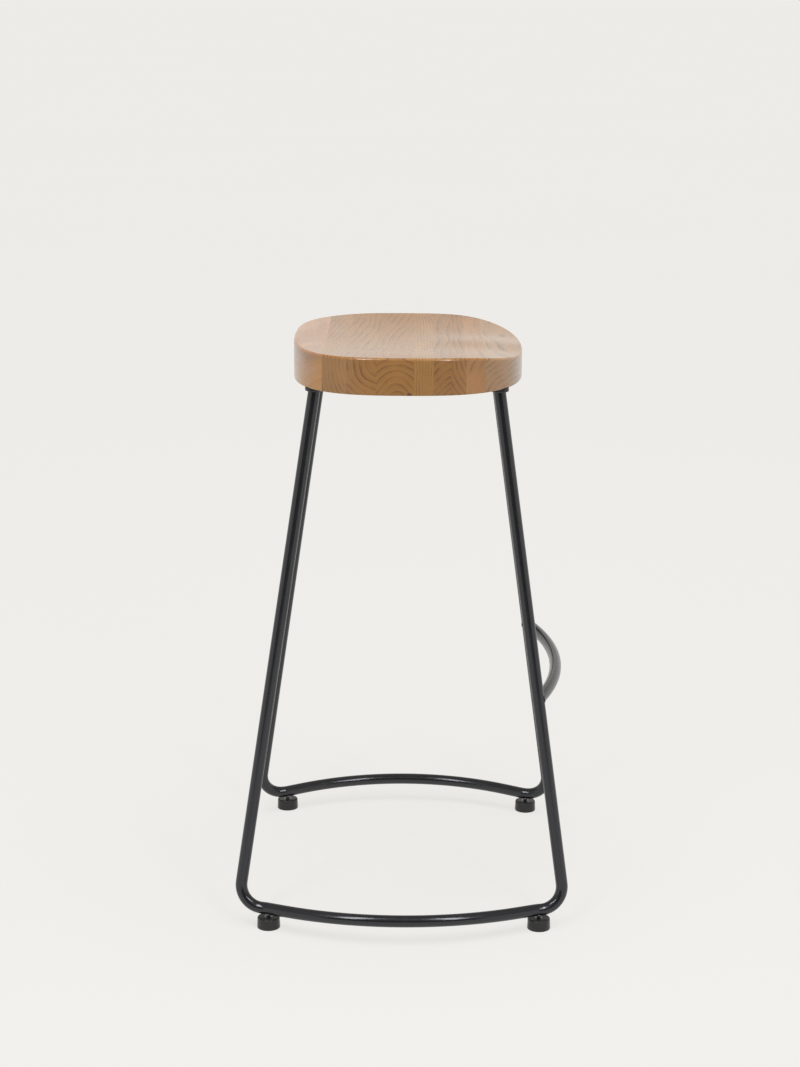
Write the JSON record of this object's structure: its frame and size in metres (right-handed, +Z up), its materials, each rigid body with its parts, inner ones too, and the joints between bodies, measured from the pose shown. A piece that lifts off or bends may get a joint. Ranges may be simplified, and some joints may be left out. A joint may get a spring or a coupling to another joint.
{
  "type": "bar stool with footrest",
  "caption": "Backless bar stool with a carved saddle seat of edge-glued wood on two bent steel tube hoops, a bowed front footrest and screw levelling feet.",
  "frame": {"origin": "on the floor, at the middle of the stool's bounding box seen from above", "axes": "+Z up, +X to the right as seen from the front, -Y towards the front, where the footrest is"},
  "size_m": [0.5674, 0.4468, 0.7698],
  "materials": {
    "black_steel": "satin black powder coat",
    "screw_steel": "zinc plated",
    "nut_steel": "plain zinc",
    "stud_steel": "dark zinc",
    "pad_plastic": "moulded, slightly satin",
    "board_wood_1": "clear satin lacquer over visible grain",
    "board_wood_2": "clear satin lacquer over visible grain",
    "board_wood_3": "clear satin lacquer over visible grain",
    "board_wood_4": "clear satin lacquer over visible grain",
    "board_wood_5": "clear satin lacquer over visible grain",
    "board_wood_6": "clear satin lacquer over visible grain",
    "board_wood_7": "clear satin lacquer over visible grain",
    "board_wood_8": "clear satin lacquer over visible grain",
    "board_wood_9": "clear satin lacquer over visible grain"
  },
  "bodies": {
    "frame": {"left_hoop": "black_steel", "right_hoop": "black_steel", "footrest": "black_steel", "footrest_welds": "black_steel", "front_strap": "black_steel", "rear_strap": "black_steel", "leg_welds": "black_steel", "seat_screws": "screw_steel", "front_left_nut": "nut_steel", "front_right_nut": "nut_steel", "rear_left_nut": "nut_steel", "rear_right_nut": "nut_steel", "seat_board_1": "board_wood_1", "seat_board_2": "board_wood_2", "seat_board_3": "board_wood_3", "seat_board_4": "board_wood_4", "seat_board_5": "board_wood_5", "seat_board_6": "board_wood_6", "seat_board_7": "board_wood_7", "seat_board_8": "board_wood_8", "seat_board_9": "board_wood_9"},
    "front_left_foot": {"front_left_pad": "pad_plastic"},
    "front_left_screw": {"front_left_stud": "stud_steel"},
    "front_right_foot": {"front_right_pad": "pad_plastic"},
    "front_right_screw": {"front_right_stud": "stud_steel"},
    "rear_left_foot": {"rear_left_pad": "pad_plastic"},
    "rear_left_screw": {"rear_left_stud": "stud_steel"},
    "rear_right_foot": {"rear_right_pad": "pad_plastic"},
    "rear_right_screw": {"rear_right_stud": "stud_steel"}
  },
  "joints": [
    {"name": "front_left_level", "type": "slide", "parent": "frame", "child": "front_left_foot", "axis": [0, 0, -1], "range_m": [-0.0025, 0.007]},
    {"name": "front_left_turn", "type": "hinge", "parent": "front_left_foot", "child": "front_left_screw", "pos_m": [-0.22434, -0.185, 0.015], "axis": [0, 0, -1], "range_deg": [-905, 2525]},
    {"name": "front_right_level", "type": "slide", "parent": "frame", "child": "front_right_foot", "axis": [0, 0, -1], "range_m": [-0.0025, 0.007]},
    {"name": "front_right_turn", "type": "hinge", "parent": "front_right_foot", "child": "front_right_screw", "pos_m": [0.22434, -0.185, 0.015], "axis": [0, 0, -1], "range_deg": [-905, 2525]},
    {"name": "rear_left_level", "type": "slide", "parent": "frame", "child": "rear_left_foot", "axis": [0, 0, -1], "range_m": [-0.0025, 0.007]},
    {"name": "rear_left_turn", "type": "hinge", "parent": "rear_left_foot", "child": "rear_left_screw", "pos_m": [-0.22702, 0.178, 0.015], "axis": [0, 0, -1], "range_deg": [-905, 2525]},
    {"name": "rear_right_level", "type": "slide", "parent": "frame", "child": "rear_right_foot", "axis": [0, 0, -1], "range_m": [-0.0025, 0.007]},
    {"name": "rear_right_turn", "type": "hinge", "parent": "rear_right_foot", "child": "rear_right_screw", "pos_m": [0.22702, 0.178, 0.015], "axis": [0, 0, -1], "range_deg": [-905, 2525]}
  ],
  "couplings": [
    {"joint": "front_left_turn", "follows": "front_left_level", "rad_per_m": 6283.2},
    {"joint": "front_right_turn", "follows": "front_right_level", "rad_per_m": 6283.2},
    {"joint": "rear_left_turn", "follows": "rear_left_level", "rad_per_m": 6283.2},
    {"joint": "rear_right_turn", "follows": "rear_right_level", "rad_per_m": 6283.2}
  ]
}
